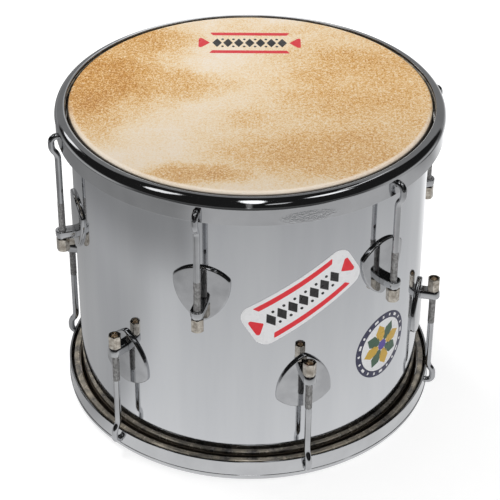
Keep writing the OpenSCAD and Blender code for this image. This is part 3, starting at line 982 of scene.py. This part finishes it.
studio = {
    "floorR": 2.6, "cameraTone": 0.60, "floorTone": 0.72, "fadeR": (1.3, 2.4),
    # painted light and shade of the table, the tone the floor glows with for the metal, near the drum and
    # far from it, by side
    "front": (0.76, 0.48), "left": (0.44, 0.50), "backLeft": (0.36, 0.22), "backRight": (1.40, 0.50),
    "nearR": 0.19, "farR": 0.56, "backFarR": 1.6, "tableRight": 0.62,
    "frontEdge": -0.72, "leftEdge": -0.68, "rightEdge": 0.80,
    "farTones": (0.07, 0.45), "horizonTone": 0.08,
    # where one tone passes into the next, in degrees from the front or in metres
    "leftTurn": (-44, -66), "leftEndTurn": (-18, -40), "leftEndR": (0.38, 0.51), "leftEndDim": -0.42,
    "slant": (0.38, -0.12), "tableRightR": (0.58, 0.46), "backX": (-0.12, 0.22), "backY": (-0.02, 0.30),
    "stripX": (0.25, 0.1), "stripY": (0.8, 1.2),
    "sideFrom": (58, 80), "sideTo": (130, 112), "distantR": (0.66, 0.88),
    "reflectedTint": (0.985, 0.99, 1.0, 1),
    "skyForSkin": 0.56, "keyPower": 20.0, "frontPower": 15.0,
    # lamps seen in the chrome, on a plane 1 m up: centre x, y, half length, half width, turn, strength
    "lamps": [
        (0.03, -0.38, 0.40, 0.085, 92, 1.7), (-0.66, -0.21, 0.36, 0.12, 40, 1.3),
        (0.50, -0.12, 0.17, 0.15, 60, 1.5), (0.465, 0.45, 0.36, 0.04, 88, 0.9),
        (-2.05, 1.6, 1.1, 0.26, 142, 1.3), (-0.22, 1.72, 0.2, 0.1, 95, 0.35),
        (0.34, -1.06, 0.30, 0.09, 80, 0.7)],
    "wallTone": 0.22, "wallLow": 1.15, "roomTone": 0.014,
    "lampAim": (0, 0, 0.2),
}
view = {"lens": 126.71, "shift": (0.00128, -0.0238), "place": (0, -1.3072, 1.0016), "aim": (0, 0, 0.1416),
        "roll": 0.417}


def mixShaders(tree, fac, a, b):
    return addNode(tree, "ShaderNodeMixShader", {0: fac, 1: a, 2: b}).outputs[0]


# what the metal sees, painted as a glow: a pale table whose light falls off from the drum and ends in a dark
# room
def paintedTableGlow(tree, coords, radius):
    s = studio
    parts = addNode(tree, "ShaderNodeSeparateXYZ", {0: coords})
    x, y = parts.outputs["X"], parts.outputs["Y"]
    azimuth = mathOn(tree, "ARCTAN2", x, mathOn(tree, "MULTIPLY", y, -1.0))

    def bySide(side, far="farR"):
        return remap(tree, radius, s["nearR"], s[far], *s[side])

    def across(value, name):
        return smoothStep(tree, value, *s[name])

    def roundDrum(value, name):
        return smoothStep(tree, value, *[math.radians(t) for t in s[name]])

    def tableEdge(value, name, soft):
        return smoothStep(tree, value, s[name] - soft, s[name] + soft)

    tone = blendOn(tree, roundDrum(azimuth, "leftTurn"), bySide("front"), bySide("left"))
    leftEnd = product(tree, roundDrum(azimuth, "leftEndTurn"), across(radius, "leftEndR"))
    tone = product(tree, tone, mathOn(tree, "MULTIPLY_ADD", leftEnd, s["leftEndDim"], 1.0))
    edge = product(tree, tableEdge(y, "frontEdge", 0.03), tableEdge(x, "leftEdge", 0.06),
                   tableEdge(x, "rightEdge", -0.06))
    tone = product(tree, tone, edge)
    # behind on the right the table is bright up to a slanting line
    slant = remap(tree, mathOn(tree, "MULTIPLY_ADD", y, -0.95, x), *s["slant"])
    tableRight = product(tree, across(radius, "tableRightR"), s["tableRight"])
    rightTone = mathOn(tree, "MAXIMUM", product(tree, bySide("backRight", "backFarR"), slant), tableRight)
    backTone = blendOn(tree, across(x, "backX"), bySide("backLeft"), rightTone)
    strip = mathOn(tree, "ABSOLUTE", mathOn(tree, "ADD", x, 0.05))
    strip = product(tree, across(strip, "stripX"), across(y, "stripY"))
    backTone = mathOn(tree, "MAXIMUM", backTone, strip)
    inRoom = blendOn(tree, across(y, "backY"), tone, backTone)
    # far off the room is dim in front and lighter to both sides
    turned = mathOn(tree, "ABSOLUTE", azimuth)
    sideways = product(tree, roundDrum(turned, "sideFrom"), roundDrum(turned, "sideTo"))
    distant = product(tree, blendOn(tree, sideways, *s["farTones"]), across(radius, "distantR"))
    return mathOn(tree, "MAXIMUM", inRoom, distant)


def buildFloor():
    s = studio
    bm = bmesh.new()
    loops = [[bm.verts.new((r * math.cos(a), r * math.sin(a), 0)) for a in circle(96)]
             for r in (0.2, 0.5, 1.0, s["floorR"])]
    bm.faces.new(loops[0])
    joinLoops(bm, loops)
    material, tree, shader = newMaterial("paleFloor")
    tree.nodes.remove(shader)
    coords = objectCoords(tree)
    radius = lengthOf(tree, coords)
    # the floor glows with the painted table light for reflected rays only
    seen = addNode(tree, "ShaderNodeEmission", {"Strength": paintedTableGlow(tree, coords, radius)},
                   {"Color": s["reflectedTint"]})
    cloud = noiseOn(tree, coords, 6.0, toLow=s["floorTone"] - 0.01, toHigh=s["floorTone"] + 0.01)
    floorColour = addNode(tree, "ShaderNodeCombineColor", {0: cloud, 1: cloud, 2: cloud})
    matt = addNode(tree, "ShaderNodeBsdfDiffuse", {"Color": floorColour.outputs[0]}).outputs[0]
    glow = addNode(tree, "ShaderNodeEmission", values={"Strength": s["cameraTone"]}).outputs[0]
    lit = addNode(tree, "ShaderNodeAddShader", {0: matt, 1: glow}).outputs[0]
    clear = addNode(tree, "ShaderNodeBsdfTransparent").outputs[0]
    lit = mixShaders(tree, smoothStep(tree, radius, *s["fadeR"]), lit, clear)
    path = addNode(tree, "ShaderNodeLightPath").outputs
    forCamera = mixShaders(tree, path["Is Camera Ray"], matt, lit)
    surface = mixShaders(tree, path["Is Glossy Ray"], forCamera, seen.outputs[0])
    tree.links.new(surface, tree.nodes["Material Output"].inputs["Surface"])
    floor = makePiece("floor", bm, [material])


def buildWorld():
    s = studio
    world = bpy.data.worlds.new("studio")
    scene.world = world
    world.use_nodes = True
    tree = world.node_tree
    tree.nodes.clear()
    coords = addNode(tree, "ShaderNodeTexCoord")
    parts = addNode(tree, "ShaderNodeSeparateXYZ", {0: coords.outputs["Generated"]})
    x, y, z = (parts.outputs[k] for k in "XYZ")
    safeZ = mathOn(tree, "MAXIMUM", z, 0.02)
    above = addNode(tree, "ShaderNodeCombineXYZ", {
        "X": mathOn(tree, "DIVIDE", x, safeZ), "Y": mathOn(tree, "DIVIDE", y, safeZ)}).outputs[0]
    glows = []
    for x0, y0, half, wide, turn, strength in s["lamps"]:
        reach = reachFrom(tree, above, (x0, y0, 0), (half, wide, 1), math.radians(turn))
        glows.append(product(tree, smoothStep(tree, reach, 1.2, 0.8), strength))
    # grey wall behind the drum, white near its foot
    depth = mathOn(tree, "MAXIMUM", y, 0.02)
    slope = mathOn(tree, "DIVIDE", z, depth)
    across = mathOn(tree, "DIVIDE", x, depth)
    aside = mathOn(tree, "ABSOLUTE", across)
    wall = product(tree, smoothStep(tree, z, 0.829, 0.766), smoothStep(tree, aside, 1.15, 0.95))
    window = mathOn(tree, "ABSOLUTE", mathOn(tree, "ADD", across, 0.03))
    lowWall = product(tree, smoothStep(tree, slope, 0.512, 0.494), smoothStep(tree, window, 0.17, 0.06))
    wallTone = remap(tree, lowWall, 0.0, 1.0, s["wallTone"], s["wallLow"])
    tone = chainOn(tree, "ADD", [
        product(tree, chainOn(tree, "ADD", glows), smoothStep(tree, z, 0.02, 0.06)),
        product(tree, wall, wallTone), s["roomTone"],
        product(tree, smoothStep(tree, z, 0.01, -0.03), s["horizonTone"])])
    reflected = addNode(tree, "ShaderNodeBackground", {"Strength": tone}, {"Color": s["reflectedTint"]})
    sky = addNode(tree, "ShaderNodeBackground", values={"Strength": s["skyForSkin"]})
    white = addNode(tree, "ShaderNodeBackground", values={"Color": (1, 1, 1, 1), "Strength": 1.0})
    path = addNode(tree, "ShaderNodeLightPath").outputs
    lit = mixShaders(tree, path["Is Glossy Ray"], sky.outputs[0], reflected.outputs[0])
    addNode(tree, "ShaderNodeOutputWorld", {
        "Surface": mixShaders(tree, path["Is Camera Ray"], lit, white.outputs[0])})


def buildLamps():
    for name, place, size, power in (("key", (-0.8, 0.7, 1.9), 1.1, studio["keyPower"]),
                                     ("fill", (1.2, -0.6, 1.7), 1.4, studio["keyPower"] * 0.25),
                                     ("front", (0.5, -2.0, 0.35), 1.2, studio["frontPower"])):
        lamp = bpy.data.lights.new(name, "AREA")
        lamp.shape, lamp.size, lamp.energy = "SQUARE", size, power
        holder = bpy.data.objects.new(name, lamp)
        holder.location = place
        aim = Vector(studio["lampAim"]) - Vector(place)
        holder.rotation_euler = aim.to_track_quat("-Z", "Y").to_euler()
        holder.visible_glossy = False
        scene.collection.objects.link(holder)


def buildCamera():
    data = bpy.data.cameras.new("camera")
    data.sensor_fit, data.sensor_width, data.lens = "HORIZONTAL", 36.0, view["lens"]
    data.shift_x, data.shift_y = view["shift"]
    camera = bpy.data.objects.new("camera", data)
    place = Vector(view["place"])
    aim = (Vector(view["aim"]) - place).to_track_quat("-Z", "Y").to_matrix().to_4x4()
    roll = Matrix.Rotation(math.radians(view["roll"]), 4, "Z")
    camera.matrix_world = Matrix.Translation(place) @ aim @ roll
    scene.collection.objects.link(camera)
    scene.camera = camera


buildFloor()
buildWorld()
buildLamps()
buildCamera()
scene.view_settings.view_transform = "Standard"
print("studio and camera made")
